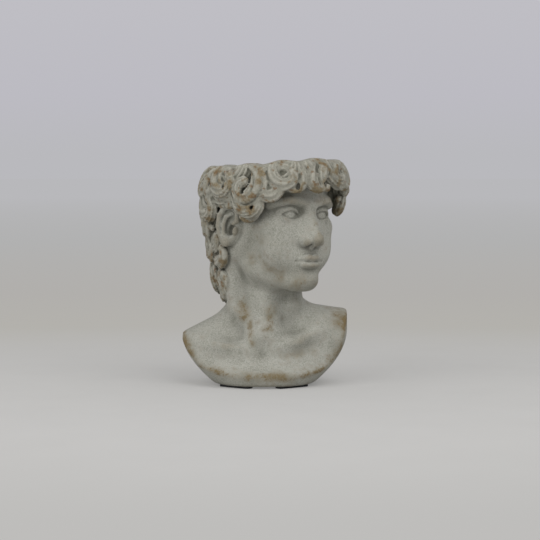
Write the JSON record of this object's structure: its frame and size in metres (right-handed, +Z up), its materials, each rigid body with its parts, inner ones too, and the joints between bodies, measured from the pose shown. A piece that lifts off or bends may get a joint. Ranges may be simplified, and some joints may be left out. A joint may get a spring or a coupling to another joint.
{
  "type": "statue planter",
  "caption": "Cement planter cast as a classical curly-haired head and shoulders, open at the crown for a plant, with a stoppered drain down the neck and thin pads under the base.",
  "frame": {"origin": "on the ground, under the middle of the planter's box", "axes": "+Z up; the chest faces -Y, and the head is turned towards +X"},
  "size_m": [0.1688, 0.1594, 0.2259],
  "materials": {
    "cement": "grey-white washed cement with ochre rubbed into the high edges, matt",
    "rubber": "moulded dark grey rubber, satin",
    "foam": "black closed-cell foam, matt"
  },
  "bodies": {
    "bust": {"cast_bust": "cement", "foot_pad_front_left": "foam", "foot_pad_front_right": "foam", "foot_pad_rear_left": "foam", "foot_pad_rear_right": "foam"},
    "plug": {"drain_plug": "rubber"}
  },
  "joints": [
    {"name": "plug_lift", "type": "slide", "parent": "bust", "child": "plug", "axis": [0, 0, 1], "range_m": [0, 0.12]}
  ]
}
